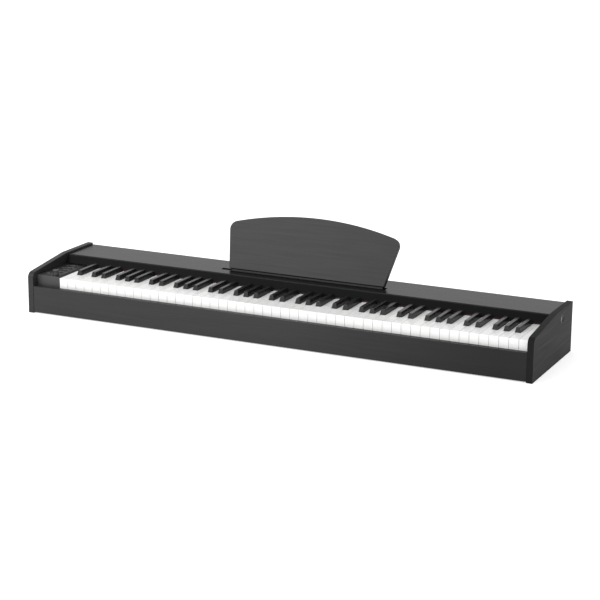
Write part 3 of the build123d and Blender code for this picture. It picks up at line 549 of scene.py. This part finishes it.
def screw_head(name, radius, height):
    """A domed head with a cross recess, its seat at the origin and its top towards +Z."""
    work = bmesh.new()
    steps = 24
    arm = 0.14 * radius
    reach = 0.55 * radius
    cross = []
    for quarter in range(4):
        turned = Matrix.Rotation(quarter * math.pi / 2, 3, "Z")
        for corner in ((reach, -arm), (reach, 0), (reach, arm), (0.6 * reach, arm),
                       (0.35 * reach, arm), (arm, arm)):
            cross.append(turned @ Vector((corner[0], corner[1], 0)))
    levels = [(radius, 0.0), (radius, 0.25 * height), (0.85 * radius, 0.75 * height),
              (0.62 * radius, height)]
    rings = []
    for across, up in levels:
        rings.append([work.verts.new((across * math.cos(2 * math.pi * (step - 1) / steps),
                                      across * math.sin(2 * math.pi * (step - 1) / steps), up))
                      for step in range(steps)])
    for up, inward in ((height, 1.0), (0.35 * height, 0.8)):
        rings.append([work.verts.new((place.x * inward, place.y * inward, up))
                      for place in cross])
    for lower, upper in zip(rings, rings[1:]):
        for step in range(steps):
            after = (step + 1) % steps
            work.faces.new((lower[step], lower[after], upper[after], upper[step]))
    work.faces.new(rings[-1])
    work.faces.new(rings[0][::-1])
    bmesh.ops.recalc_face_normals(work, faces=work.faces)
    mesh = bpy.data.meshes.new(name)
    work.to_mesh(mesh)
    work.free()
    mesh.shade_smooth()
    mesh.set_sharp_from_angle(angle=math.radians(38))
    return mesh


back_low, back_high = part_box("back_panel")
socket_low, socket_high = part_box("socket_plate")
rear_screw = screw_head("rear_screw", 0.0035, 0.0018)
rear_screw.transform(Matrix.Rotation(-math.pi / 2, 4, "X"))
board_screws = []
back_screw_columns = 8
screw_from_side = 0.03
screw_from_edge = 0.008
first_screw = socket_high.x + screw_from_side
screw_run = back_high.x - screw_from_side - first_screw
for step in range(back_screw_columns):
    across = first_screw + step * screw_run / (back_screw_columns - 1)
    for height in (back_low.z + screw_from_edge, back_high.z - screw_from_edge):
        board_screws.append((Vector((across, back_high.y, height)), still))
repeated("back_screws", rear_screw, board_screws, screw_steel, "cabinet")
plate_screw = screw_head("plate_screw", 0.0026, 0.0014)
plate_screw.transform(Matrix.Rotation(-math.pi / 2, 4, "X"))
plate_screws = []
for across in (socket_low.x + 0.0055, socket_high.x - 0.0055):
    for height in (socket_low.z + 0.006, socket_high.z - 0.006):
        plate_screws.append((Vector((across, socket_high.y, height)), still))
repeated("socket_plate_screws", plate_screw, plate_screws, screw_steel, "cabinet")

# ---- Underside -----------------------------------------------------------------------------------
# Black faced board with rubber pads, brass inserts for a stand, perforated steel grilles over two
# speakers, and a row of screws near each edge.
pad_rubber = finished(
    "pad_rubber", (0.012, 0.012, 0.012), (0.022, 0.022, 0.022), 900, (0.7, 0.85), bump=0.0001,
    Specular_IOR_Level=0.3)
insert_brass = finished(
    "insert_brass", (0.5, 0.35, 0.13), (0.68, 0.5, 0.22), 1200, (0.22, 0.36), bump=0.00003,
    stretch=(1, 1, 0.1), Metallic=1.0)
grille_paint = finished(
    "grille_paint", (0.012, 0.012, 0.012), (0.02, 0.02, 0.02), 1800, (0.4, 0.52), bump=0.00006,
    Specular_IOR_Level=0.45)
stand_in("bottom_boards", "bottom_board", faced_board, 0.0003)
stand_in("rubber_foot_pads", "rubber_pads", pad_rubber, 0.0004)
stand_in("brass_stand_inserts", "stand_inserts", insert_brass, 0.0002)
stand_in("perforated_grilles", "speaker_grilles", grille_paint)
bottom_low, bottom_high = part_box("bottom_board")
lower_screw = screw_head("lower_screw", 0.0033, 0.0012)
lower_screw.transform(Matrix.Rotation(math.pi, 4, "X"))
bottom_screws = []
bottom_screw_columns = 9
bottom_side = 0.02
bottom_edge = 0.01
bottom_run = bottom_high.x - bottom_low.x - 2 * bottom_side
for step in range(bottom_screw_columns):
    across = bottom_low.x + bottom_side + step * bottom_run / (bottom_screw_columns - 1)
    for along in (bottom_low.y + bottom_edge, bottom_high.y - bottom_edge):
        bottom_screws.append((Vector((across, along, bottom_low.z)), still))
repeated("bottom_screws", lower_screw, bottom_screws, screw_steel, "cabinet")

# ---- Speakers ------------------------------------------------------------------------------------
# Behind the grilles: pressed baskets, pulp cones and ferrite magnets, bolted to the bottom board.
cone_pulp = finished(
    "cone_pulp", (0.012, 0.012, 0.012), (0.03, 0.03, 0.03), 1500, (0.85, 0.98), bump=0.0002,
    detail=5, warp=1.0)
basket_paint = finished(
    "basket_paint", (0.012, 0.012, 0.012), (0.02, 0.02, 0.02), 1500, (0.4, 0.5), bump=0.00004)
ferrite = finished(
    "ferrite", (0.03, 0.03, 0.031), (0.06, 0.06, 0.062), 1100, (0.5, 0.7), bump=0.0001,
    Metallic=0.3)

# ---- Action and electronics ----------------------------------------------------------------------
# Hidden under the keys: a zinc-plated chassis with rod, springs and screws, stop felt, rubber
# contact domes and green circuit boards. The knob's shaft shows when the knob is looked into.
zinc_steel = finished(
    "zinc_steel", (0.42, 0.43, 0.45), (0.6, 0.61, 0.63), 260, (0.26, 0.42), bump=0.00002,
    stretch=(0.06, 1, 1), Metallic=1.0)
solder_mask = finished(
    "solder_mask", (0.004, 0.05, 0.02), (0.012, 0.11, 0.045), 260, (0.3, 0.4), bump=0.00005,
    detail=1, ramp=(0.46, 0.54))
stop_wool = finished(
    "stop_wool", (0.16, 0.012, 0.016), (0.36, 0.04, 0.05), 1400, (0.9, 1.0), bump=0.0003,
    detail=4, warp=1.5, Sheen_Weight=0.3)
hidden = {"cone_paper": cone_pulp, "basket_steel": basket_paint, "magnet": ferrite,
          "steel": zinc_steel, "circuit_board": solder_mask, "stop_felt": stop_wool,
          "rubber": pad_rubber}
for node, piece in frame["nodes"].items():
    if slots[node] in hidden and not piece.hide_render:
        for holder in piece.material_slots:
            holder.material = hidden[slots[node]]
